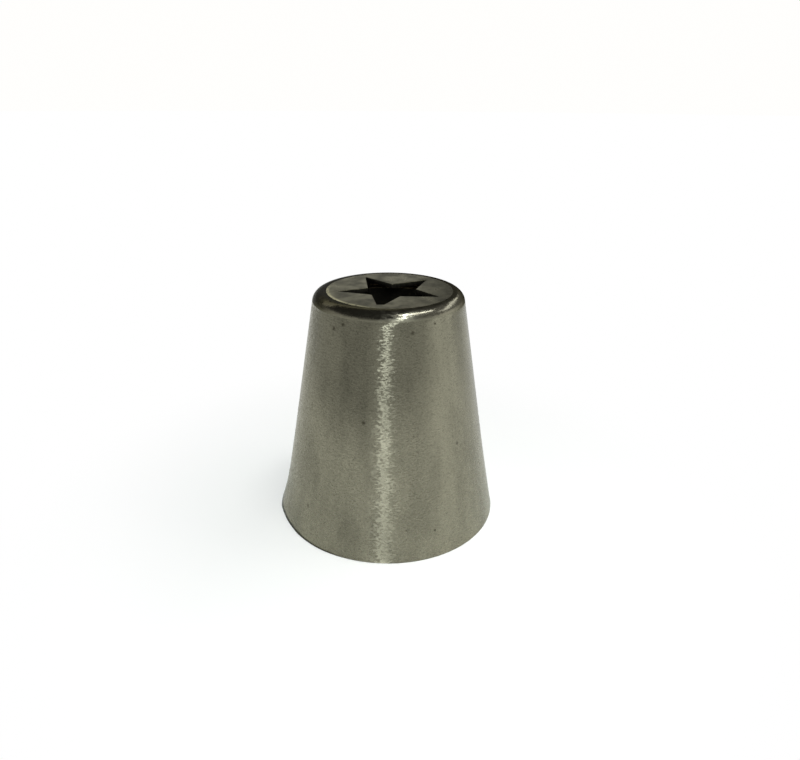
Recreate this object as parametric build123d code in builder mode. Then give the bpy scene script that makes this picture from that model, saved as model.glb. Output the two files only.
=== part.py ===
from build123d import *
import os

# A large star piping nozzle in stainless sheet, in millimetres.
# The mouth that goes into the bag lies on z = 0 and the star face is on top, round the Z axis.
# A rolled cone is closed by a weld down its side, and a pressed cap with a punched star is
# welded onto its narrow end. Both welds are ground flush outside and left a little proud inside.

os.makedirs("parts", exist_ok=True)

# The cone, measured over its outside
base_diameter = 34.0
crown_diameter = 21.3  # where the straight wall would meet the star face
height = 35.2
sheet = 0.6
mouth_flare = 0.23  # how far the mouth spreads past the straight wall
flare_height = 14.8
rim_bevel = 0.12  # off both edges of the rim

# The cap
shoulder_radius = 1.5  # outside, from the star face down to the wall
cap_skirt = 0.4  # how far the cap reaches below the centre of its shoulder

# The star, across the circles of its points and of its inner corners
star_diameter = 14.7
star_root_diameter = 6.7
star_points = 5
star_turn = 45.0  # degrees from +X to the first point
star_point_radius = 0.2
star_root_radius = 0.3
star_bevel = 0.12  # off the star's upper edge, where the punch drew the sheet down

# The welds
seam_width = 1.2
seam_turn = 165.0  # degrees from +X to the seam
cap_weld_height = 0.8
weld_root = 0.15  # how far a weld stands proud inside
weld_bevel = 0.1  # off a weld's inner edges

overrun = 2.0  # how far every cut runs past what it cuts

# Places that follow from the sizes
base_radius = base_diameter / 2
crown_radius = crown_diameter / 2
lean = (base_radius - mouth_flare - crown_radius) / height
flare_top = (crown_radius + lean * (height - flare_height), flare_height)
cap_foot = height - shoulder_radius - cap_skirt
wall_top = cap_foot - cap_weld_height


def shell(thickness):
    """The whole nozzle as one open shell, this thick inwards from its outside."""
    with BuildPart() as hollow:
        with BuildSketch(Plane.XZ):
            with BuildLine():
                TangentArc(flare_top, (base_radius, 0), tangent=(lean, -1))
                FilletPolyline(
                    flare_top, (crown_radius, height), (0, height), radius=shoulder_radius
                )
                Polyline((0, height), (0, 0), (base_radius, 0))
            make_face()
        revolve(axis=Axis.Z)
        offset(amount=-thickness, openings=hollow.faces().sort_by(Axis.Z)[0])
    return hollow.part


def star_corners():
    """Points and inner corners of the star in turn, before they are rounded."""
    step = 360 / star_points
    corners = []
    for number in range(star_points):
        turn = star_turn + number * step
        corners.append(Vector(star_diameter / 2, 0).rotate(Axis.Z, turn))
        corners.append(Vector(star_root_diameter / 2, 0).rotate(Axis.Z, turn + step / 2))
    return corners


def seam_strip():
    """Plan of the strip that the seam's weld fills, from the axis outwards."""
    with BuildSketch(Plane.XY.offset(-overrun)) as strip:
        with PolarLocations(0, 1, start_angle=seam_turn):
            Rectangle(base_radius + overrun, seam_width, align=(Align.MIN, Align.CENTER))
    return strip.sketch


# The shells that the pieces are cut from: the sheet, and the thicker welds
sheet_shell = shell(sheet)
weld_shell = shell(sheet + weld_root)

# Cone wall: rolled sheet, open along the seam, with its rim's edges taken off
with BuildPart() as cone_wall:
    add(sheet_shell)
    split(bisect_by=Plane.XY.offset(wall_top), keep=Keep.BOTTOM)
    chamfer(cone_wall.edges().group_by(Axis.Z)[0], rim_bevel)
    add(seam_strip())
    extrude(amount=height + overrun, mode=Mode.SUBTRACT)
cone_wall.part.label = "cone_wall"
export_step(cone_wall.part, "parts/cone_wall.step")

# Side seam weld: fills the gap in the wall, flush outside and proud inside
with BuildPart() as side_seam_weld:
    add(weld_shell)
    split(bisect_by=Plane.XY.offset(wall_top), keep=Keep.BOTTOM)
    chamfer(side_seam_weld.edges().group_by(Axis.Z)[0], rim_bevel)
    add(seam_strip())
    extrude(amount=height + overrun, mode=Mode.INTERSECT)
    seam_outwards = Vector(1, 0).rotate(Axis.Z, seam_turn)
    root_faces = side_seam_weld.faces().filter_by(
        lambda face: face.normal_at().dot(seam_outwards) < -0.5
    )
    long_edges = root_faces.edges().filter_by(lambda edge: edge.length > 2 * seam_width)
    chamfer(long_edges, weld_bevel)
side_seam_weld.part.label = "side_seam_weld"
export_step(side_seam_weld.part, "parts/side_seam_weld.step")

# Cap weld: the band between the wall and the cap's skirt, flush outside and proud inside
with BuildPart() as cap_weld:
    add(weld_shell)
    split(bisect_by=Plane.XY.offset(wall_top), keep=Keep.TOP)
    split(bisect_by=Plane.XY.offset(cap_foot), keep=Keep.BOTTOM)
    root_edges = cap_weld.edges().filter_by(GeomType.CIRCLE).sort_by(SortBy.RADIUS)[:2]
    chamfer(root_edges, weld_bevel)
cap_weld.part.label = "cap_weld"
export_step(cap_weld.part, "parts/cap_weld.step")

# Star cap: pressed cup with a rounded shoulder, its star punched from outside
with BuildPart() as star_cap:
    add(sheet_shell)
    split(bisect_by=Plane.XY.offset(cap_foot), keep=Keep.TOP)
    with BuildSketch(Plane.XY.offset(height - sheet - overrun)) as star:
        with BuildLine():
            Polyline(star_corners(), close=True)
        make_face()
        fillet(star.vertices().group_by(SortBy.DISTANCE)[-1], star_point_radius)
        fillet(star.vertices().group_by(SortBy.DISTANCE)[0], star_root_radius)
    extrude(amount=sheet + 2 * overrun, mode=Mode.SUBTRACT)
    star_face = star_cap.faces().filter_by(Plane.XY).sort_by(Axis.Z)[-1]
    chamfer(star_face.inner_wires()[0].edges(), star_bevel)
star_cap.part.label = "star_cap"
export_step(star_cap.part, "parts/star_cap.step")
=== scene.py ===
from math import atan2, cos, degrees, hypot, pi, radians, sin, tan

import bpy
from mathutils import Matrix, Vector


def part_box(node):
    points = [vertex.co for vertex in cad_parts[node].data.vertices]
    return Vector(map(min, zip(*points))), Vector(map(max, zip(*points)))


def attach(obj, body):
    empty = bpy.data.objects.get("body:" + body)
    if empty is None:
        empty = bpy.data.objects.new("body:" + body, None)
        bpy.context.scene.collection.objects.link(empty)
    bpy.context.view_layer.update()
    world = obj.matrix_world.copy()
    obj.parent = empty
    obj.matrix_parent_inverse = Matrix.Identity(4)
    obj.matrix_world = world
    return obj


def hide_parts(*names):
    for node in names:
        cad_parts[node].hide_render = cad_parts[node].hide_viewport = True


bl_info = {
    "name": "Piping Nozzle",
    "version": (1, 0, 0),
    "blender": (4, 5, 0),
    "location": "View3D > Sidebar > Nozzle",
    "description": "A large stainless piping nozzle with a punched star",
    "category": "Object",
}

MM = 0.001

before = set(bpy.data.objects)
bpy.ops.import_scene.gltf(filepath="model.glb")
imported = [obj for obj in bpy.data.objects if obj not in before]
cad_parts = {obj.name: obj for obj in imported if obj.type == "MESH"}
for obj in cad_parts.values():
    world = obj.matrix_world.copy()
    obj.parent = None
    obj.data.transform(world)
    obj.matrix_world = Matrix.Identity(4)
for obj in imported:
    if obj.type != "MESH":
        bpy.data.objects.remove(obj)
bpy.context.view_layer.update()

# Heights that the frame gives
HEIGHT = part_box("star_cap")[1].z
CAP_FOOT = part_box("star_cap")[0].z
WALL_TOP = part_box("cone_wall")[1].z

# The mouth's true radius: the frame's mesh has facets, so its box is a little narrower
MOUTH_RADIUS = 17.0 * MM

# Two points nearer than this are one
NEAR = 0.002 * MM

# Faces round the axis in each turned piece
ROUND_STEPS = 240

# Edges that turn more than this stay crisp
CRISP_TURN = radians(32)


def linear(hex_colour):
    """The scene-linear red, green and blue of an sRGB hex colour."""
    channels = []
    for place in (1, 3, 5):
        value = int(hex_colour[place : place + 2], 16) / 255
        channels.append(value / 12.92 if value <= 0.04045 else ((value + 0.055) / 1.055) ** 2.4)
    return channels


# Stainless steel as it looks under white light, dull from use
BRUSHED_STEEL = "#898775"
FACE_STEEL = "#74715A"
SHOULDER_STEEL = "#726F61"
INSIDE_STEEL = "#6A675B"
WELD_STEEL = "#6B5F4A"
PIT_BROWN = "#39362B"
FLOOR_WHITE = "#F8F7F2"


class NozzleSizes(bpy.types.PropertyGroup):
    """The shape of the cone, its cap and its welds."""

    mouth_radius: bpy.props.FloatProperty(
        name="Mouth radius",
        description="Outside radius of the rim",
        default=MOUTH_RADIUS,
        unit="LENGTH",
    )
    crown_radius: bpy.props.FloatProperty(
        name="Crown radius",
        description="Where the straight wall would meet the star face",
        default=10.65 * MM,
        unit="LENGTH",
    )
    height: bpy.props.FloatProperty(
        name="Height", description="Rim to star face", default=HEIGHT, unit="LENGTH"
    )
    sheet: bpy.props.FloatProperty(
        name="Sheet", description="Thickness of the steel", default=0.6 * MM, unit="LENGTH"
    )
    mouth_flare: bpy.props.FloatProperty(
        name="Mouth flare",
        description="How far the rim spreads past the straight wall",
        default=0.23 * MM,
        unit="LENGTH",
    )
    flare_height: bpy.props.FloatProperty(
        name="Flare height", description="Where the flare begins", default=14.8 * MM, unit="LENGTH"
    )
    rim_rounding: bpy.props.FloatProperty(
        name="Rim rounding",
        description="Radius of the rim's edges",
        default=0.14 * MM,
        unit="LENGTH",
    )
    shoulder_radius: bpy.props.FloatProperty(
        name="Shoulder radius", description="Star face to wall", default=1.5 * MM, unit="LENGTH"
    )
    wall_top: bpy.props.FloatProperty(
        name="Wall top",
        description="Lower edge of the cap's weld",
        default=WALL_TOP,
        unit="LENGTH",
    )
    cap_foot: bpy.props.FloatProperty(
        name="Cap foot",
        description="Upper edge of the cap's weld",
        default=CAP_FOOT,
        unit="LENGTH",
    )
    weld_root: bpy.props.FloatProperty(
        name="Weld root",
        description="How far a weld stands proud inside",
        default=0.15 * MM,
        unit="LENGTH",
    )
    seam_width: bpy.props.FloatProperty(
        name="Seam width", description="Width of the side weld", default=1.2 * MM, unit="LENGTH"
    )
    seam_turn: bpy.props.FloatProperty(
        name="Seam turn",
        description="Place of the side weld, from +X",
        default=radians(165),
        unit="ROTATION",
    )
    lip_push: bpy.props.FloatProperty(
        name="Lip push",
        description="How far the rim is sprung outwards",
        default=0.42 * MM,
        unit="LENGTH",
    )
    lip_turn: bpy.props.FloatProperty(
        name="Lip turn",
        description="Middle of the sprung stretch, from +X",
        default=radians(184),
        unit="ROTATION",
    )
    belly_push: bpy.props.FloatProperty(
        name="Belly push",
        description="How far the rim bulges beside the lip",
        default=0.14 * MM,
        unit="LENGTH",
    )
    belly_turn: bpy.props.FloatProperty(
        name="Belly turn",
        description="Middle of the bulge, from +X",
        default=radians(218),
        unit="ROTATION",
    )


class CapSizes(bpy.types.PropertyGroup):
    """The cap's flat and the punched star's edge."""

    flat_radius: bpy.props.FloatProperty(
        name="Flat radius",
        description="Middle of the flat to its crease",
        default=8.95 * MM,
        unit="LENGTH",
    )
    flat_shift: bpy.props.FloatProperty(
        name="Flat shift",
        description="How far the flat lies towards +X",
        default=0.15 * MM,
        unit="LENGTH",
    )
    crease: bpy.props.FloatProperty(
        name="Crease",
        description="Fall of the ring outside the flat",
        default=radians(2),
        unit="ROTATION",
    )
    point_rounding: bpy.props.FloatProperty(
        name="Point rounding",
        description="Radius at the tip of a point",
        default=0.1 * MM,
        unit="LENGTH",
    )
    root_rounding: bpy.props.FloatProperty(
        name="Root rounding",
        description="Radius at an inner corner",
        default=0.2 * MM,
        unit="LENGTH",
    )
    roll: bpy.props.FloatProperty(
        name="Roll",
        description="Radius that the punch drew the upper edge to",
        default=0.07 * MM,
        unit="LENGTH",
    )


def colour_property(label, description, hex_colour):
    """A colour that the sidebar shows, with its default given in hex."""
    return bpy.props.FloatVectorProperty(
        name=label,
        description=description,
        subtype="COLOR",
        size=3,
        min=0.0,
        max=1.0,
        default=linear(hex_colour),
    )


class FinishColours(bpy.types.PropertyGroup):
    """Colours of the steel and of the stage."""

    brushed: colour_property("Brushed wall", "Outside of the cone", BRUSHED_STEEL)
    face: colour_property("Star face", "Flat of the cap", FACE_STEEL)
    shoulder: colour_property("Shoulder", "Rounded edge of the cap", SHOULDER_STEEL)
    inside: colour_property("Inside", "Dull steel inside", INSIDE_STEEL)
    weld: colour_property("Weld", "Heat tint of the welds", WELD_STEEL)
    pit: colour_property("Pit", "Bottom of a pit", PIT_BROWN)
    floor: colour_property("Floor", "Studio floor", FLOOR_WHITE)


def deselect_all():
    """Leaves nothing selected in object mode."""
    if bpy.context.object and bpy.context.object.mode != "OBJECT":
        bpy.ops.object.mode_set(mode="OBJECT")
    bpy.ops.object.select_all(action="DESELECT")


def select_parts(piece, wanted, kind="vertices"):
    """In edit mode, selects the vertices, edges or faces of a piece for which wanted(part) is true."""
    modes = {"vertices": "VERT", "edges": "EDGE", "faces": "FACE"}
    bpy.ops.object.mode_set(mode="EDIT")
    bpy.ops.mesh.select_mode(type="VERT")
    bpy.ops.mesh.select_all(action="DESELECT")
    bpy.ops.mesh.select_mode(type=modes[kind])
    bpy.ops.object.mode_set(mode="OBJECT")
    for part in getattr(piece.data, "polygons" if kind == "faces" else kind):
        part.select = wanted(part)
    bpy.ops.object.mode_set(mode="EDIT")


def edit_whole(piece):
    """Leaves one piece in edit mode, with all of it selected."""
    deselect_all()
    bpy.context.view_layer.objects.active = piece
    piece.select_set(True)
    bpy.ops.object.mode_set(mode="EDIT")
    bpy.ops.mesh.select_all(action="SELECT")


def arc(centre, radius, start, end, steps):
    """Points (r, z) round an arc in the lathe's plane, angles in degrees from outwards to upwards."""
    points = []
    for step in range(steps + 1):
        turn = radians(start + (end - start) * step / steps)
        points.append((centre[0] + radius * cos(turn), centre[1] + radius * sin(turn)))
    return points


def turned(name, outline, steps):
    """A piece spun round the Z axis from an outline of (r, z) points, left in edit mode."""
    deselect_all()
    bpy.ops.mesh.primitive_plane_add(size=MM, location=(0, 0, 0))
    piece = bpy.context.object
    piece.name = name
    bpy.ops.object.mode_set(mode="EDIT")
    bpy.ops.mesh.select_all(action="SELECT")
    bpy.ops.mesh.merge(type="CENTER")
    place = (0.0, 0.0)
    for number, (radius, height) in enumerate(outline):
        move = (radius - place[0], 0, height - place[1])
        if number:
            bpy.ops.mesh.extrude_region_move(TRANSFORM_OT_translate={"value": move})
        else:
            bpy.ops.transform.translate(value=move)
        place = (radius, height)
    bpy.ops.mesh.select_all(action="SELECT")
    bpy.ops.mesh.spin(steps=steps, angle=2 * pi, center=(0, 0, 0), axis=(0, 0, 1))
    bpy.ops.mesh.select_all(action="SELECT")
    bpy.ops.mesh.remove_doubles(threshold=NEAR)
    bpy.ops.mesh.normals_make_consistent(inside=False)
    return piece


def wall_lean(sizes):
    """How far the straight wall leans inwards for each metre of its height."""
    return (sizes.mouth_radius - sizes.mouth_flare - sizes.crown_radius) / sizes.height


def outside(sizes, z):
    """Radius of the nozzle's outside at a height: a straight wall that flares towards the mouth."""
    below = max(0.0, sizes.flare_height - z) / sizes.flare_height
    return sizes.crown_radius + wall_lean(sizes) * (sizes.height - z) + sizes.mouth_flare * below**2


def inside(sizes, z):
    """Radius of the nozzle's inside at a height, one sheet in, square to the wall."""
    return outside(sizes, z) - sizes.sheet * hypot(1, wall_lean(sizes))


def turn_of(place):
    """Degrees round the Z axis from +X, from 0 to 360."""
    return degrees(atan2(place.y, place.x)) % 360


def in_or_out(face):
    """Number of a face's finish on a turned piece: 1 where it looks towards the axis, else 0."""
    return 1 if face.normal.dot(Vector((face.center.x, face.center.y, 0))) < 0 else 0


# Materials made so far, by the function that makes each
MADE = {}


def finish_piece(piece, finishes, choose, node):
    """Gives each face the finish that choose(face) numbers, smooths the piece, hides its CAD node and
    hangs the piece on the root body.
    """
    deselect_all()
    bpy.context.view_layer.objects.active = piece
    piece.select_set(True)
    piece.data.materials.clear()
    for make in finishes:
        if make not in MADE:
            MADE[make] = make()
        piece.data.materials.append(MADE[make])
    for face in piece.data.polygons:
        face.material_index = choose(face)
    bpy.ops.object.shade_smooth_by_angle(angle=CRISP_TURN)
    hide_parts(node)
    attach(piece, "root")


class NOZZLE_OT_wall(bpy.types.Operator):
    """Turn the cone wall, spring its rim outwards and part it from the side weld"""

    bl_idname = "nozzle.wall"
    bl_label = "Cone wall and side weld"

    outer_rows: bpy.props.IntProperty(name="Outer rows", description="Rows of faces outside", default=44)
    inner_rows: bpy.props.IntProperty(name="Inner rows", description="Rows of faces inside", default=30)
    steps: bpy.props.IntProperty(
        name="Steps round", description="Faces round the axis", default=ROUND_STEPS
    )

    def outline(self, sizes):
        """The wall's section as (r, z) points: down its outside, round the rim and up its inside."""
        rounding = sizes.rim_rounding
        rim_steps = 5
        tall = sizes.wall_top - rounding
        points = []
        for row in range(self.outer_rows + 1):
            z = sizes.wall_top - tall * row / self.outer_rows
            points.append((outside(sizes, z), z))
        points += arc((outside(sizes, 0) - rounding, rounding), rounding, 0, -90, rim_steps)[1:]
        points += arc((inside(sizes, 0) + rounding, rounding), rounding, -90, -180, rim_steps)
        for row in range(1, self.inner_rows + 1):
            z = rounding + tall * row / self.inner_rows
            points.append((inside(sizes, z), z))
        points.append(points[0])
        return points

    def spring_rim(self, wall, sizes):
        """Springs the rim outwards at one place, as use has, and bulges it a little beside that."""
        # Degrees each way that a push moves as one, and how far from them it fades out
        pushes = (
            (sizes.lip_push, sizes.lip_turn, 7, 6.5 * MM, "SHARP"),
            (sizes.belly_push, sizes.belly_turn, 12, 9 * MM, "SMOOTH"),
        )
        for push, turn, half_degrees, fade, falloff in pushes:

            def on_stretch(vertex):
                away = abs(turn_of(vertex.co) - degrees(turn))
                return vertex.co.z < 2 * sizes.rim_rounding and away < half_degrees

            select_parts(wall, on_stretch)
            bpy.ops.transform.translate(
                value=(push * cos(turn), push * sin(turn), 0),
                use_proportional_edit=True,
                proportional_edit_falloff=falloff,
                proportional_size=fade,
            )

    def part_bead(self, wall, sizes, along, across):
        """Cuts the side weld's strip out of the wall and returns it as a piece of its own."""
        half = sizes.seam_width / 2
        for side in (-half, half):
            select_parts(wall, lambda face: face.center.dot(along) > 0, "faces")
            bpy.ops.mesh.bisect(plane_co=across * side, plane_no=across)
        select_parts(
            wall,
            lambda face: face.center.dot(along) > 0 and abs(face.center.dot(across)) < half,
            "faces",
        )
        bpy.ops.mesh.separate(type="SELECTED")
        bpy.ops.object.mode_set(mode="OBJECT")
        bead = next(piece for piece in bpy.context.selected_objects if piece != wall)
        bead.name = "seam_weld_bead"
        return bead

    def crown_bead(self, bead, sizes, along, across):
        """Raises the weld's root inside the wall to a low crown, in two lifts."""
        middle = (inside(sizes, 0) - outside(sizes, 0)) / 2
        edit_whole(bead)
        bpy.ops.mesh.subdivide(number_cuts=3)
        # Share of the half width that a lift moves, and the lift's share of the crown
        for width_share, lift_share in ((0.8, 0.55), (0.45, 0.45)):

            def on_root(vertex):
                away = abs(vertex.co.dot(across))
                depth = hypot(vertex.co.x, vertex.co.y) - outside(sizes, vertex.co.z)
                lifted = away < width_share * sizes.seam_width / 2
                return lifted and depth < middle and vertex.co.z > sizes.rim_rounding

            select_parts(bead, on_root)
            bpy.ops.transform.translate(value=-along * sizes.weld_root * lift_share)

    def execute(self, context):
        sizes = context.scene.nozzle_sizes
        wall = turned("wall_brushed", self.outline(sizes), self.steps)
        self.spring_rim(wall, sizes)
        along = Vector((cos(sizes.seam_turn), sin(sizes.seam_turn), 0))
        across = Vector((-along.y, along.x, 0))
        bead = self.part_bead(wall, sizes, along, across)
        self.crown_bead(bead, sizes, along, across)
        for piece in (bead, wall):
            edit_whole(piece)
            bpy.ops.mesh.fill_holes(sides=0)
            bpy.ops.object.mode_set(mode="OBJECT")
        finish_piece(wall, [brushed_steel, dull_steel], in_or_out, "cone_wall")
        finish_piece(bead, [brushed_steel, welded_steel], in_or_out, "side_seam_weld")
        return {"FINISHED"}


class NOZZLE_OT_cap_weld(bpy.types.Operator):
    """Turn the weld between the wall and the cap, ground flush outside"""

    bl_idname = "nozzle.cap_weld"
    bl_label = "Cap weld"

    steps: bpy.props.IntProperty(
        name="Steps round", description="Faces round the axis", default=ROUND_STEPS
    )

    def execute(self, context):
        sizes = context.scene.nozzle_sizes
        low, high = sizes.wall_top, sizes.cap_foot
        outline = [(outside(sizes, high), high), (outside(sizes, low), low)]
        crown_steps = 8
        for step in range(crown_steps + 1):
            z = low + (high - low) * step / crown_steps
            bulge = sizes.weld_root * sin(pi * step / crown_steps) ** 0.5
            outline.append((inside(sizes, z) - bulge, z))
        outline.append(outline[0])
        weld = turned("cap_weld_bead", outline, self.steps)
        bpy.ops.object.mode_set(mode="OBJECT")
        finish_piece(weld, [brushed_steel, welded_steel], in_or_out, "cap_weld")
        return {"FINISHED"}


# Corners of the star as the punch left it: degrees round from +X and millimetres from the axis.
# The point that faces the camera came out blunt, with two corners.
STAR_CORNERS = (
    (43.1, 7.72),
    (80.0, 2.75),
    (117.7, 7.52),
    (166.5, 3.05),
    (188.3, 7.3),
    (228.3, 3.5),
    (257.6, 7.35),
    (265.2, 7.2),
    (294.9, 3.65),
    (333.5, 7.68),
    (2.7, 3.85),
)

# The star's inner corners lie nearer the axis than this, and its points lie further out
ROOT_REACH = 5.0 * MM

# The cap's finishes, in the order of its material slots
SHOULDER, UNDERSIDE, SHEARED, FACE, SKIRT = range(5)


def outset(corners, distance):
    """Corners of an outline that runs anticlockwise, with each side moved outwards by a distance."""
    moved = []
    for number, corner in enumerate(corners):
        before = (corner - corners[number - 1]).normalized()
        after = (corners[(number + 1) % len(corners)] - corner).normalized()
        first = Vector((before.y, -before.x))
        second = Vector((after.y, -after.x))
        moved.append(corner + (first + second) * distance / (1 + first.dot(second)))
    return moved


class NOZZLE_OT_cap(bpy.types.Operator):
    """Press the cap, with its rounded shoulder, and punch the star through it"""

    bl_idname = "nozzle.cap"
    bl_label = "Star cap"

    steps: bpy.props.IntProperty(
        name="Steps round", description="Faces round the axis", default=ROUND_STEPS
    )
    bend: bpy.props.FloatProperty(
        name="Bend",
        description="Half the width of the flat's bent edge",
        default=0.1 * MM,
        unit="LENGTH",
    )
    edge_margin: bpy.props.FloatProperty(
        name="Edge margin",
        description="Flat strip beside the star's roll",
        default=0.05 * MM,
        unit="LENGTH",
    )

    def press(self, sizes, shape):
        """Turns the cap, open in its middle, and returns it with the height of its skirt's top."""
        lean = wall_lean(sizes)
        draft = degrees(atan2(lean, 1))

        # The shoulder's arc touches the wall and the ring that falls gently from the flat
        fall = tan(shape.crease)
        start = sizes.crown_radius - sizes.shoulder_radius * hypot(1, lean)
        rise = (start - shape.flat_radius) * fall + sizes.shoulder_radius / cos(shape.crease)
        depth = rise / (1 - lean * fall)
        centre = (start + lean * depth, sizes.height - depth)
        outline = [(shape.flat_radius - 2 * self.bend, sizes.height)]
        bend_steps = 4
        outer_steps = 16
        inner_steps = 10
        for step in range(bend_steps + 1):
            share = step / bend_steps
            radius = shape.flat_radius + self.bend * (2 * share - 1)
            outline.append((radius, sizes.height - fall * self.bend * share**2))
        outline += arc(centre, sizes.shoulder_radius, 90 - degrees(shape.crease), draft, outer_steps)
        outline.append((outside(sizes, sizes.cap_foot), sizes.cap_foot))
        outline.append((inside(sizes, sizes.cap_foot), sizes.cap_foot))
        outline += arc(centre, sizes.shoulder_radius - sizes.sheet, draft, 90, inner_steps)
        outline.append((outline[0][0], sizes.height - sizes.sheet))
        cap = turned("cap_pressed", outline, self.steps)
        select_parts(cap, lambda vertex: vertex.co.z > sizes.height - NEAR)
        bpy.ops.transform.translate(
            value=(shape.flat_shift, 0, 0),
            use_proportional_edit=True,
            proportional_edit_falloff="SMOOTH",
            proportional_size=sizes.shoulder_radius,
        )
        bpy.ops.object.mode_set(mode="OBJECT")
        return cap, centre[1] + sizes.shoulder_radius * sin(radians(draft))

    def punch(self, sizes, shape):
        """Makes the star's edge: a flat margin, the roll that the punch drew and the sheared wall."""
        spread = shape.roll + self.edge_margin
        corners = []
        for turn, reach in STAR_CORNERS:
            corners.append(Vector((cos(radians(turn)), sin(radians(turn)))) * reach * MM)
        starts = outset(corners, spread)
        deselect_all()
        bpy.ops.mesh.primitive_circle_add(
            vertices=len(corners),
            radius=shape.flat_radius,
            fill_type="NGON",
            location=(0, 0, sizes.height),
        )
        bpy.ops.object.transform_apply(location=True, rotation=True, scale=True)
        star = bpy.context.object
        order = sorted(range(len(corners)), key=lambda number: turn_of(star.data.vertices[number].co))
        for number, corner in zip(order, starts):
            place = star.data.vertices[number].co.copy()
            select_parts(star, lambda vertex: vertex.index == number)
            bpy.ops.transform.translate(value=(corner.x - place.x, corner.y - place.y, 0))

        # Outside the edge a point is rounder and an inner corner sharper, by the spread
        corner_steps = 4
        for number, corner in enumerate(starts):
            before = (starts[number - 1] - corner).normalized()
            after = (starts[(number + 1) % len(starts)] - corner).normalized()
            half = before.angle(after) / 2
            is_root = corners[number].length < ROOT_REACH
            rounding = shape.root_rounding - spread if is_root else shape.point_rounding + spread
            select_parts(star, lambda vertex: (vertex.co.xy - corner).length < NEAR)
            cut = max(rounding, NEAR) / tan(half)
            bpy.ops.mesh.bevel(offset=cut, segments=corner_steps, affect="VERTICES", profile=0.5)
        bpy.ops.mesh.select_all(action="SELECT")
        bpy.ops.mesh.inset(thickness=self.edge_margin, use_boundary=True)
        roll_steps = 3
        for step in range(1, roll_steps + 1):
            last, now = [radians(90) * (step - back) / roll_steps for back in (1, 0)]
            bpy.ops.mesh.inset(thickness=shape.roll * (sin(now) - sin(last)))
            bpy.ops.transform.translate(value=(0, 0, -shape.roll * (cos(last) - cos(now))))
        drop = shape.roll - sizes.sheet
        bpy.ops.mesh.extrude_region_move(TRANSFORM_OT_translate={"value": (0, 0, drop)})
        bpy.ops.mesh.delete(type="FACE")
        bpy.ops.object.mode_set(mode="OBJECT")
        return star

    def fill_flats(self, cap, levels):
        """Fills the sheet's flats, from the star's edge out to the cap's turned ring."""
        for level in levels:
            select_parts(cap, lambda edge: False, "edges")
            bpy.ops.mesh.select_non_manifold()
            bpy.ops.object.mode_set(mode="OBJECT")
            open_edges = {edge.index for edge in cap.data.edges if edge.select}

            def on_rim(edge):
                end = cap.data.vertices[edge.vertices[0]].co
                return edge.index in open_edges and abs(end.z - level) < NEAR

            select_parts(cap, on_rim, "edges")
            bpy.ops.mesh.fill(use_beauty=True)
        bpy.ops.mesh.select_all(action="SELECT")
        bpy.ops.mesh.normals_make_consistent(inside=False)
        bpy.ops.object.mode_set(mode="OBJECT")

    def execute(self, context):
        sizes = context.scene.nozzle_sizes
        shape = context.scene.nozzle_cap
        cap, skirt_top = self.press(sizes, shape)
        star = self.punch(sizes, shape)
        deselect_all()
        star.select_set(True)
        cap.select_set(True)
        context.view_layer.objects.active = cap
        bpy.ops.object.join()
        self.fill_flats(cap, (sizes.height, sizes.height - sizes.sheet))
        flat_edge = shape.flat_radius - self.bend

        # How far a normal may rise on an upright face, and must rise on one that looks up or down
        upright = 0.5
        level = 0.1

        def part_of_cap(face):
            radius = hypot(face.center.x, face.center.y)
            outwards = face.normal.dot(Vector((face.center.x, face.center.y, 0))) / max(radius, NEAR)
            if radius < flat_edge and abs(face.normal.z) < upright:
                return SHEARED
            if face.normal.z < -level or (outwards < -level and radius > shape.flat_radius):
                return UNDERSIDE
            on_roll = radius < flat_edge and face.normal.z > level
            if on_roll or face.normal.z > cos(shape.crease / 2):
                return FACE
            return SKIRT if face.center.z < skirt_top else SHOULDER

        finish_piece(
            cap,
            [shoulder_steel, dull_steel, sheared_steel_painted_dark, face_steel, brushed_steel],
            part_of_cap,
            "star_cap",
        )
        return {"FINISHED"}


# Settings that many nodes share
SMOOTH = {"interpolation_type": "SMOOTHSTEP"}
BLEND = {"output": "Result", "data_type": "RGBA"}
DOT = {"output": "Value", "operation": "DOT_PRODUCT"}

# The range that most of a noise lies in
MOST = {"From Min": 0.3, "From Max": 0.7}


def add_node(tree, kind, inputs=None, output=0, **settings):
    """Adds a node with its settings, gives its inputs values or links, and returns one output."""
    node = tree.nodes.new(kind)
    for name, value in settings.items():
        setattr(node, name, value)
    for name, value in (inputs or {}).items():
        if isinstance(value, bpy.types.NodeSocket):
            tree.links.new(value, node.inputs[name])
        else:
            node.inputs[name].default_value = value
    return node.outputs[output] if node.outputs else node


def new_tree(name):
    """An empty node material, its tree, and the place on the piece in metres."""
    material = bpy.data.materials.new(name)
    material.use_nodes = True
    tree = material.node_tree
    tree.nodes.clear()
    return material, tree, add_node(tree, "ShaderNodeTexCoord", output="Object")


def drawn_noise(tree, place, along, up, seed, detail=2.0):
    """Noise with its own grain round the axis (along) and down the wall (up), both in metres."""
    scale = (1 / along, 1 / along, 1 / up)
    drawn = add_node(
        tree, "ShaderNodeMapping", {"Vector": place, "Scale": scale, "Location": (seed, 0, seed)}
    )
    return add_node(tree, "ShaderNodeTexNoise", {"Vector": drawn, "Scale": 1.0, "Detail": detail})


def shade(colour, share):
    """A shader colour, darkened to a share of its light."""
    return tuple(share * channel for channel in colour) + (1,)


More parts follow.
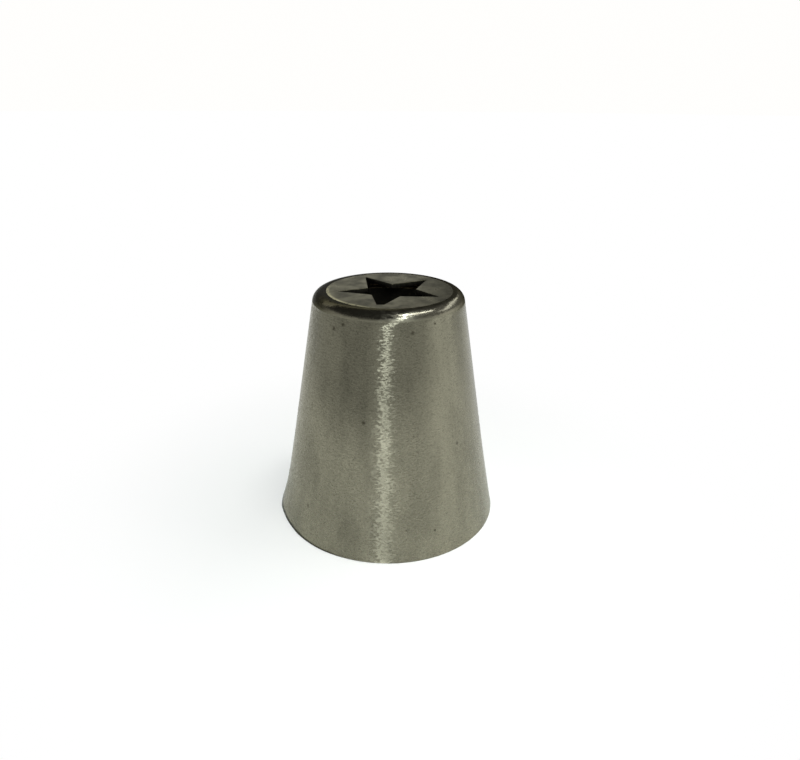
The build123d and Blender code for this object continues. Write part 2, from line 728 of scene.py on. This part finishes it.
def leant_normal(tree, share):
    """The surface normal, leant round the axis by a share: what brushing lines do to a highlight."""
    tangent = add_node(tree, "ShaderNodeTangent", direction_type="RADIAL", axis="Z")
    sideways = {"Vector": tangent, "Scale": share}
    leant = add_node(tree, "ShaderNodeVectorMath", sideways, operation="SCALE")
    normal = add_node(tree, "ShaderNodeNewGeometry", output="Normal")
    total = add_node(tree, "ShaderNodeVectorMath", {0: normal, 1: leant}, operation="ADD")
    return add_node(tree, "ShaderNodeVectorMath", {0: total}, operation="NORMALIZE")


def steel_surface(tree, colour, roughness, normal, anisotropic, film=1.0):
    """Bare steel, stretched upright where it is brushed; a yellowish film dulls it at a low angle."""
    shader = add_node(
        tree,
        "ShaderNodeBsdfPrincipled",
        {
            "Base Color": colour,
            "Metallic": 1.0,
            "Roughness": roughness,
            "Normal": normal,
            "Anisotropic": anisotropic,
            "Anisotropic Rotation": 0.25,
            "Specular Tint": (film, film, 0.96 * film, 1),
        },
    )
    if anisotropic:
        round_axis = add_node(tree, "ShaderNodeTangent", direction_type="RADIAL", axis="Z")
        tree.links.new(round_axis, shader.node.inputs["Tangent"])
    add_node(tree, "ShaderNodeOutputMaterial", {"Surface": shader})


# Pits in the wall: degrees round from +X, height and radius in millimetres
PITS = (
    (229.5, 32.3, 0.24),
    (237.4, 33.1, 0.17),
    (286.5, 32.5, 0.2),
    (303.4, 33.3, 0.14),
    (255.7, 20.5, 0.2),
    (284.8, 18.6, 0.13),
    (314.3, 15.9, 0.17),
    (222.4, 5.5, 0.22),
    (280.0, 5.0, 0.18),
    (294.9, 4.2, 0.14),
    (38.0, 25.0, 0.2),
    (77.0, 11.5, 0.17),
    (131.0, 28.0, 0.15),
    (118.0, 6.5, 0.2),
    (2.0, 9.0, 0.16),
)


def pitted(tree, place, colour):
    """The colour with the wall's pits in it: brown, darkest in their middles, with ragged edges."""
    scene = bpy.context.scene
    ragged = add_node(
        tree, "ShaderNodeTexNoise", {"Vector": place, "Scale": 1 / (0.4 * MM), "Detail": 2.0}
    )
    core_share = 0.3
    fade_share = 1.9
    deepest = 0.0
    for turn, height, radius in PITS:
        out = outside(scene.nozzle_sizes, height * MM)
        centre = (out * cos(radians(turn)), out * sin(radians(turn)), height * MM)
        away = add_node(
            tree, "ShaderNodeVectorMath", {0: place, 1: centre}, "Value", operation="DISTANCE"
        )
        pit = add_node(
            tree,
            "ShaderNodeMapRange",
            {
                "Value": away,
                "From Min": core_share * radius * MM,
                "From Max": fade_share * radius * MM,
                "To Min": 1.0,
                "To Max": 0.0,
            },
            **SMOOTH,
        )
        deepest = add_node(tree, "ShaderNodeMath", {0: deepest, 1: pit}, operation="MAXIMUM")
    torn = add_node(
        tree,
        "ShaderNodeMapRange",
        {"Value": ragged, "From Min": 0.3, "From Max": 0.6, "To Min": 0.35, "To Max": 1.0},
        **SMOOTH,
    )
    share = add_node(
        tree, "ShaderNodeMath", {0: deepest, 1: torn}, operation="MULTIPLY", use_clamp=True
    )
    pit = shade(scene.nozzle_finish.pit, 1.0)
    return add_node(tree, "ShaderNodeMix", {"Factor": share, "A": colour, "B": pit}, **BLEND)


def wander(tree, place):
    """How far the metal leans round the axis by height: the cone is a little out of round."""
    height = add_node(tree, "ShaderNodeSeparateXYZ", {"Vector": place}, "Z")
    top = bpy.context.scene.nozzle_sizes.height
    total = 0.0
    # Where a lean begins and ends, and its degrees at both
    for low, high, first, last in (
        (22 * MM, 31 * MM, 2.3, 1.2),
        (top - 1.9 * MM, top - 0.7 * MM, 0, -11),
    ):
        reach = {"Value": height, "From Min": low, "From Max": high}
        turn = {"To Min": radians(first), "To Max": radians(last)}
        lean = add_node(tree, "ShaderNodeMapRange", {**reach, **turn}, **SMOOTH)
        total = add_node(tree, "ShaderNodeMath", {0: total, 1: lean}, operation="ADD")
    return total


def wear_and_shade_shares(tree, place):
    """Where wear and painted shade darken the brushed wall, as pairs of a share and the depth that it
    darkens to.
    """
    # Clouds some millimetres wide, soft upright bands and fine specks
    clouds = drawn_noise(tree, place, 4.5 * MM, 9.0 * MM, 7.0)
    bands = drawn_noise(tree, place, 2.2 * MM, 18.0 * MM, 41.0)
    specks = drawn_noise(tree, place, 0.3 * MM, 0.22 * MM, 43.0)
    wear_and_shade = []
    for noise, least, most, depth in (
        (clouds, 0.4, 0.75, 0.82),
        (bands, 0.35, 0.7, 0.86),
        (specks, 0.5, 0.75, 0.68),
    ):
        reach = {"Value": noise, "From Min": least, "From Max": most}
        wear_and_shade.append((add_node(tree, "ShaderNodeMapRange", reach, **SMOOTH), depth))

    # Painted shade high on the wall's front left: a darker patch with ragged edges that stands in for a
    # dark reflection
    shade_spot = (-4.5 * MM, -12.5 * MM, 30 * MM)
    away = add_node(tree, "ShaderNodeVectorMath", {0: place, 1: shade_spot}, "Value", operation="DISTANCE")
    ragged = add_node(tree, "ShaderNodeMath", {0: clouds, 1: 8 * MM, 2: away}, operation="MULTIPLY_ADD")
    shade_reach = {"Value": ragged, "From Min": 10 * MM, "From Max": 19 * MM, "To Min": 1.0, "To Max": 0.0}
    wear_and_shade.append((add_node(tree, "ShaderNodeMapRange", shade_reach, **SMOOTH), 0.64))

    # Painted shade along the low band of the rounded rim, on one side, darkest towards 204 degrees from
    # +X
    height = add_node(tree, "ShaderNodeVectorMath", {0: place, 1: (0, -0.05, 1)}, **DOT)
    low = {"Value": height, "From Min": 0.8 * MM, "From Max": 1.15 * MM, "To Min": 1.0, "To Max": 0.0}
    shaded_side = (cos(radians(204)), sin(radians(204)), 0)
    towards = add_node(tree, "ShaderNodeVectorMath", {0: place, 1: shaded_side}, **DOT)
    side = {"Value": towards, "From Min": 11 * MM, "From Max": 14.5 * MM}
    both = [add_node(tree, "ShaderNodeMapRange", reach, **SMOOTH) for reach in (low, side)]
    painted_rim_shade = add_node(tree, "ShaderNodeMath", {0: both[0], 1: both[1]}, operation="MULTIPLY")
    wear_and_shade.append((painted_rim_shade, 0.18))
    return wear_and_shade


def brushed_steel():
    """Brushed stainless: lines round the cone draw each light out into a sparkling upright streak."""
    material, tree, place = new_tree("stainless_brushed_round")

    # Scratches 0.24 mm apart and bundles of them 0.36 mm apart: real ones are too fine to show
    lines = drawn_noise(tree, place, 0.5 * MM, 0.24 * MM, 0.0)
    bundles = drawn_noise(tree, place, 1.2 * MM, 0.36 * MM, 3.0)
    lean = wander(tree, place)
    for noise, strength in ((lines, 0.33), (bundles, 0.12)):
        centred = add_node(tree, "ShaderNodeMath", {0: noise, 1: 0.5}, operation="SUBTRACT")
        leant = {0: centred, 1: strength, 2: lean}
        lean = add_node(tree, "ShaderNodeMath", leant, operation="MULTIPLY_ADD")

    colour = shade(bpy.context.scene.nozzle_finish.brushed, 1.0)
    # Darkening by wear, with painted shade on the wall's front left and along the rim
    for share, depth in wear_and_shade_shares(tree, place):
        darker = {"Factor": share, "A": colour, "B": shade((1, 1, 1), depth)}
        colour = add_node(tree, "ShaderNodeMix", darker, blend_type="MULTIPLY", **BLEND)
    colour = pitted(tree, place, colour)
    gloss = {"Value": lines, **MOST, "To Min": 0.24, "To Max": 0.31}
    roughness = add_node(tree, "ShaderNodeMapRange", gloss, **SMOOTH)
    steel_surface(tree, colour, roughness, leant_normal(tree, lean), 0.985)
    return material


def dull_steel():
    """Stainless left as it was drawn and washed many times: grey, blurred, with faint stains."""
    material, tree, place = new_tree("stainless_dull_inside")
    steel = bpy.context.scene.nozzle_finish.inside
    stains = drawn_noise(tree, place, 3.0 * MM, 5.0 * MM, 11.0)
    stained = add_node(
        tree, "ShaderNodeMapRange", {"Value": stains, "From Min": 0.4, "From Max": 0.8}, **SMOOTH
    )
    tints = {"Factor": stained, "A": shade(steel, 1.0), "B": shade(steel, 0.7)}
    colour = add_node(tree, "ShaderNodeMix", tints, **BLEND)
    lines = drawn_noise(tree, place, 2.0 * MM, 0.4 * MM, 13.0)
    lean = add_node(tree, "ShaderNodeMath", {0: lines, 1: 0.2, 2: -0.1}, operation="MULTIPLY_ADD")
    gloss = {"Value": stains, **MOST, "To Min": 0.4, "To Max": 0.5}
    roughness = add_node(tree, "ShaderNodeMapRange", gloss, **SMOOTH)
    steel_surface(tree, colour, roughness, leant_normal(tree, lean), 0.0)
    return material


def welded_steel():
    """Weld metal: ripples 0.4 mm apart, straw to brown where the heat tinted it."""
    material, tree, place = new_tree("stainless_weld_bead")
    steel = bpy.context.scene.nozzle_finish.weld
    tint = drawn_noise(tree, place, 1.5 * MM, 1.5 * MM, 17.0)
    heat = {"Value": tint, "From Min": 0.4, "From Max": 0.7}
    burnt = add_node(tree, "ShaderNodeMapRange", heat, **SMOOTH)
    tints = {"Factor": burnt, "A": shade(steel, 1.0), "B": shade(steel, 0.5)}
    colour = add_node(tree, "ShaderNodeMix", tints, **BLEND)
    ripple = drawn_noise(tree, place, 0.9 * MM, 0.4 * MM, 19.0)
    rippled = add_node(tree, "ShaderNodeBump", {"Height": ripple, "Distance": 0.06 * MM})
    gloss = {"Value": tint, **MOST, "To Min": 0.3, "To Max": 0.42}
    roughness = add_node(tree, "ShaderNodeMapRange", gloss, **SMOOTH)
    steel_surface(tree, colour, roughness, rippled, 0.0)
    return material


def shoulder_steel():
    """Burnished stainless: the press left the shoulder smooth and dark, so lamps glint in it."""
    material, tree, place = new_tree("stainless_burnished_shoulder")
    scene = bpy.context.scene
    finish = scene.nozzle_finish

    # The polish comes in over the shoulder's lower part, above the brushed wall
    height = add_node(tree, "ShaderNodeSeparateXYZ", {"Vector": place}, "Z")
    top = scene.nozzle_sizes.height
    reach = {"Value": height, "From Min": top - 1.3 * MM, "From Max": top - 0.6 * MM}
    polish = add_node(tree, "ShaderNodeMapRange", reach, **SMOOTH)
    tints = {"Factor": polish, "A": shade(finish.brushed, 0.7), "B": shade(finish.shoulder, 1.0)}
    colour = pitted(tree, place, add_node(tree, "ShaderNodeMix", tints, **BLEND))

    # The brushing's lines fade into it, and waves of the pressing break up what it mirrors
    lines = drawn_noise(tree, place, 0.8 * MM, 0.25 * MM, 0.0)
    centred = add_node(tree, "ShaderNodeMath", {0: lines, 1: 0.5}, operation="SUBTRACT")
    strength = add_node(tree, "ShaderNodeMapRange", {**reach, "To Min": 0.4, "To Max": 0.2}, **SMOOTH)
    leant = {0: centred, 1: strength, 2: wander(tree, place)}
    lean = add_node(tree, "ShaderNodeMath", leant, operation="MULTIPLY_ADD")
    waves = drawn_noise(tree, place, 1.1 * MM, 0.8 * MM, 23.0)
    bumps = {"Height": waves, "Distance": 0.04 * MM, "Strength": 0.8, "Normal": leant_normal(tree, lean)}
    uneven = add_node(tree, "ShaderNodeBump", bumps)
    grain = {"Value": lines, **MOST, "To Min": -0.04, "To Max": 0.05}
    fine = add_node(tree, "ShaderNodeMapRange", grain, **SMOOTH)
    base = add_node(tree, "ShaderNodeMapRange", {**reach, "To Min": 0.4, "To Max": 0.22}, **SMOOTH)
    roughness = add_node(tree, "ShaderNodeMath", {0: base, 1: fine}, operation="ADD")
    steel_surface(tree, colour, roughness, uneven, 0.5, 0.32)
    return material


def face_steel():
    """Stainless as pressed: the flat is mottled and satin, with a painted light line along its crease.
    """
    material, tree, place = new_tree("stainless_satin_face")
    steel = bpy.context.scene.nozzle_finish.face
    mottle = drawn_noise(tree, place, 1.8 * MM, 1.8 * MM, 29.0, 4.0)
    mottled = add_node(
        tree, "ShaderNodeMapRange", {"Value": mottle, "From Min": 0.35, "From Max": 0.75}, **SMOOTH
    )
    tints = {"Factor": mottled, "A": shade(steel, 1.0), "B": shade(steel, 0.42)}
    colour = add_node(tree, "ShaderNodeMix", tints, **BLEND)

    # A painted highlight: the flat's crease is lightened on one side, standing in for the bright back
    # mirrored in it
    grain = drawn_noise(tree, place, 0.5 * MM, 0.5 * MM, 31.0)
    from_axis = add_node(tree, "ShaderNodeVectorMath", {0: place, 1: (1, 1, 0)}, operation="MULTIPLY")
    out = add_node(tree, "ShaderNodeVectorMath", {0: from_axis}, "Value", operation="LENGTH")
    lit_side = (cos(radians(212)), sin(radians(212)), 0)
    towards = add_node(tree, "ShaderNodeVectorMath", {0: from_axis, 1: lit_side}, **DOT)
    painted_crease_light = 1.0
    for value, least, most in (
        (out, 8.3 * MM, 8.65 * MM),
        (towards, 5.5 * MM, 8 * MM),
        (grain, 0.3, 0.5),
    ):
        reach = {"Value": value, "From Min": least, "From Max": most}
        share = add_node(tree, "ShaderNodeMapRange", reach, **SMOOTH)
        painted_crease_light = add_node(tree, "ShaderNodeMath", {0: painted_crease_light, 1: share}, operation="MULTIPLY")
    # The painted highlight lifts the crease to 3.2 times the face's colour
    tints = {"Factor": painted_crease_light, "A": colour, "B": shade(steel, 3.2)}
    colour = add_node(tree, "ShaderNodeMix", tints, **BLEND)
    uneven = add_node(tree, "ShaderNodeBump", {"Height": grain, "Distance": 0.02 * MM, "Strength": 0.5})
    gloss = {"Value": mottle, **MOST, "To Min": 0.27, "To Max": 0.37}
    roughness = add_node(tree, "ShaderNodeMapRange", gloss, **SMOOTH)
    steel_surface(tree, colour, roughness, uneven, 0.0, 0.8)
    return material


def sheared_steel_painted_dark():
    """Stainless where the punch cut it: upright tear lines, dull, and painted nearly black as the shade
    inside the star's hole.
    """
    material, tree, place = new_tree("stainless_sheared_edge")
    steel = bpy.context.scene.nozzle_finish.inside
    tears = drawn_noise(tree, place, 0.25 * MM, 1.5 * MM, 37.0)
    reach = {"Value": tears, "From Min": 0.4, "From Max": 0.7}
    torn = add_node(tree, "ShaderNodeMapRange", reach, **SMOOTH)
    # Painted shade: both tints are a small share of the steel's colour, standing in for the shade inside
    # the hole
    tints = {"Factor": torn, "A": shade(steel, 0.16), "B": shade(steel, 0.09)}
    colour = add_node(tree, "ShaderNodeMix", tints, **BLEND)
    uneven = add_node(tree, "ShaderNodeBump", {"Height": tears, "Distance": 0.01 * MM, "Strength": 0.4})
    steel_surface(tree, colour, 0.5, uneven, 0.0)
    return material


# The camera's place in the photo, found from the base's ellipse and the wall's outline
CAMERA_AIM_HEIGHT = 17.0 * MM
CAMERA_DISTANCE = 96.4 * MM
CAMERA_ELEVATION = 26.34
CAMERA_ROLL = 0.317
CAMERA_SHIFT = (0.0149, 0.0303)
CAMERA_LENS = 27.98
CAMERA_SENSOR = 36.0

# Soft lamps: degrees round from the camera and degrees up, metres from the nozzle, width and height
# in metres, radiance and colour. The strips draw the streak down the wall, the top lamp glints on
# the shoulder, and the others light the sides and the far edge.
LAMPS = (
    ("key_strip", 1, 62, 0.42, (0.014, 0.28), 80.0, (0.9, 0.95, 1)),
    ("low_strip", 0, 31, 0.42, (0.01, 0.16), 78.0, (0.9, 0.95, 1)),
    ("top_lamp", 31, 76, 0.5, (0.3, 0.07), 11.0, (0.95, 0.97, 1)),
    ("right_wall", 80, 14, 0.6, (0.5, 0.22), 0.95, (1, 1, 0.99)),
    ("right_window", 114, 48, 0.6, (0.6, 0.1), 3.2, (0.95, 0.97, 1)),
    ("back_window", 200, 20, 0.7, (0.6, 0.13), 0.96, (1, 0.99, 0.96)),
)

FLOOR_RADIUS = 3.0


def studio_air(scene):
    """White walls in front and dim ones behind, under a dark ceiling that is lighter on the right."""
    world = bpy.data.worlds.new("studio_air")
    scene.world = world
    world.use_nodes = True
    tree = world.node_tree
    tree.nodes.clear()
    way = add_node(tree, "ShaderNodeTexCoord", output="Generated")
    rise = add_node(tree, "ShaderNodeSeparateXYZ", {"Vector": way}, "Z")
    ceiling = add_node(
        tree,
        "ShaderNodeMapRange",
        {
            "Value": rise.node.outputs["X"],
            "From Min": -0.2,
            "From Max": 0.7,
            "To Min": 0.06,
            "To Max": 0.35,
        },
        **SMOOTH,
    )
    walls = add_node(
        tree,
        "ShaderNodeMapRange",
        {
            "Value": rise.node.outputs["Y"],
            "From Min": 0.2,
            "From Max": 0.8,
            "To Min": 1.0,
            "To Max": 0.25,
        },
        **SMOOTH,
    )
    level = add_node(
        tree,
        "ShaderNodeMapRange",
        {"Value": rise, "From Min": 0.16, "From Max": 0.34, "To Min": walls, "To Max": ceiling},
        **SMOOTH,
    )
    seen = add_node(tree, "ShaderNodeLightPath", output="Is Camera Ray")
    level = add_node(tree, "ShaderNodeMath", {0: level, 1: seen}, operation="MAXIMUM")
    air = add_node(tree, "ShaderNodeBackground", {"Color": (1.0, 0.995, 0.98, 1), "Strength": level})
    add_node(tree, "ShaderNodeOutputWorld", {"Surface": air})


def studio_floor_finish(finish):
    """Matt white board: it takes the nozzle's shadow near by and turns plain white further out."""
    material, tree, place = new_tree("board_matt_white")
    board = add_node(
        tree,
        "ShaderNodeBsdfPrincipled",
        {"Base Color": shade(finish.floor, 1.0), "Roughness": 0.85, "Specular IOR Level": 0.2},
    )
    plain = add_node(tree, "ShaderNodeEmission", {"Color": (1, 1, 1, 1), "Strength": 1.0})
    flat = add_node(tree, "ShaderNodeVectorMath", {0: place}, "Value", operation="LENGTH")
    far = add_node(
        tree, "ShaderNodeMapRange", {"Value": flat, "From Min": 20 * MM, "From Max": 60 * MM}, **SMOOTH
    )
    # Mirrored in the metal, the white board ends some way behind the nozzle
    behind = add_node(tree, "ShaderNodeSeparateXYZ", {"Vector": place}, "Y")
    near_half = add_node(
        tree,
        "ShaderNodeMapRange",
        {"Value": behind, "From Min": 90 * MM, "From Max": 200 * MM, "To Min": 1.0, "To Max": 0.1},
        **SMOOTH,
    )
    seen = add_node(tree, "ShaderNodeLightPath", output="Is Glossy Ray")
    mirrored = add_node(tree, "ShaderNodeMath", {0: seen, 1: near_half}, operation="MULTIPLY")
    for ray in ("Is Camera Ray", "Is Transmission Ray"):
        rays = {0: mirrored, 1: seen.node.outputs[ray]}
        mirrored = add_node(tree, "ShaderNodeMath", rays, operation="MAXIMUM")
    share = add_node(tree, "ShaderNodeMath", {0: far, 1: mirrored}, operation="MULTIPLY")
    both = add_node(tree, "ShaderNodeMixShader", {0: share, 1: board, 2: plain})
    add_node(tree, "ShaderNodeOutputMaterial", {"Surface": both})
    return material


class NOZZLE_OT_stage(bpy.types.Operator):
    """Lay the floor, hang the lamps and place the camera"""

    bl_idname = "nozzle.stage"
    bl_label = "Floor, lamps and camera"

    def lamp(self, name, turn, rise, distance, size, radiance, colour):
        """A rectangular soft lamp that looks at the nozzle, with its brightness as a radiance."""
        aim = Vector((0, 0, CAMERA_AIM_HEIGHT))
        away = Vector(
            (
                sin(radians(turn)) * cos(radians(rise)),
                -cos(radians(turn)) * cos(radians(rise)),
                sin(radians(rise)),
            )
        )
        bpy.ops.object.light_add(type="AREA", location=aim + away * distance)
        light = bpy.context.object
        light.name = name
        light.rotation_euler = away.to_track_quat("Z", "Y").to_euler()
        light.data.shape = "RECTANGLE"
        light.data.size, light.data.size_y = size
        light.data.color = colour
        # A flat lamp's watts are pi times its area for each unit of radiance
        light.data.energy = radiance * pi * size[0] * size[1]

    def execute(self, context):
        scene = context.scene
        finish = scene.nozzle_finish
        deselect_all()
        bpy.ops.mesh.primitive_circle_add(
            vertices=96, radius=FLOOR_RADIUS, fill_type="NGON", location=(0, 0, 0)
        )
        floor = context.object
        floor.name = "studio_floor"
        floor.data.materials.append(studio_floor_finish(finish))

        for lamp in LAMPS:
            self.lamp(*lamp)

        bpy.ops.object.camera_add()
        camera = context.object
        camera.name = "camera"
        down = radians(CAMERA_ELEVATION)
        camera.location = (
            0,
            -CAMERA_DISTANCE * cos(down),
            CAMERA_AIM_HEIGHT + CAMERA_DISTANCE * sin(down),
        )
        look = Matrix.Rotation(pi / 2 - down, 4, "X") @ Matrix.Rotation(radians(CAMERA_ROLL), 4, "Z")
        camera.rotation_euler = look.to_euler()
        camera.data.lens = CAMERA_LENS
        camera.data.sensor_width = CAMERA_SENSOR
        camera.data.sensor_fit = "HORIZONTAL"
        camera.data.shift_x, camera.data.shift_y = CAMERA_SHIFT
        camera.data.clip_start = MM
        scene.camera = camera

        studio_air(scene)
        scene.view_settings.view_transform = "Standard"
        return {"FINISHED"}


class NOZZLE_PT_sidebar(bpy.types.Panel):
    """The nozzle's sizes, its colours and the steps that make it"""

    bl_label = "Piping Nozzle"
    bl_idname = "NOZZLE_PT_sidebar"
    bl_space_type = "VIEW_3D"
    bl_region_type = "UI"
    bl_category = "Nozzle"

    def draw(self, context):
        layout = self.layout
        for group in (
            context.scene.nozzle_sizes,
            context.scene.nozzle_cap,
            context.scene.nozzle_finish,
        ):
            box = layout.box()
            for name in group.__annotations__:
                box.prop(group, name)
        for step in STEPS:
            layout.operator(step.bl_idname)


GROUPS = (NozzleSizes, CapSizes, FinishColours)
STEPS = (NOZZLE_OT_wall, NOZZLE_OT_cap_weld, NOZZLE_OT_cap, NOZZLE_OT_stage)


def register():
    for kind in GROUPS + STEPS + (NOZZLE_PT_sidebar,):
        bpy.utils.register_class(kind)
    bpy.types.Scene.nozzle_sizes = bpy.props.PointerProperty(type=NozzleSizes)
    bpy.types.Scene.nozzle_cap = bpy.props.PointerProperty(type=CapSizes)
    bpy.types.Scene.nozzle_finish = bpy.props.PointerProperty(type=FinishColours)


def unregister():
    del bpy.types.Scene.nozzle_finish
    del bpy.types.Scene.nozzle_cap
    del bpy.types.Scene.nozzle_sizes
    for kind in reversed(GROUPS + STEPS + (NOZZLE_PT_sidebar,)):
        bpy.utils.unregister_class(kind)


def main():
    register()
    bpy.ops.nozzle.wall()
    bpy.ops.nozzle.cap_weld()
    bpy.ops.nozzle.cap()
    bpy.ops.nozzle.stage()


if __name__ == "__main__":
    main()
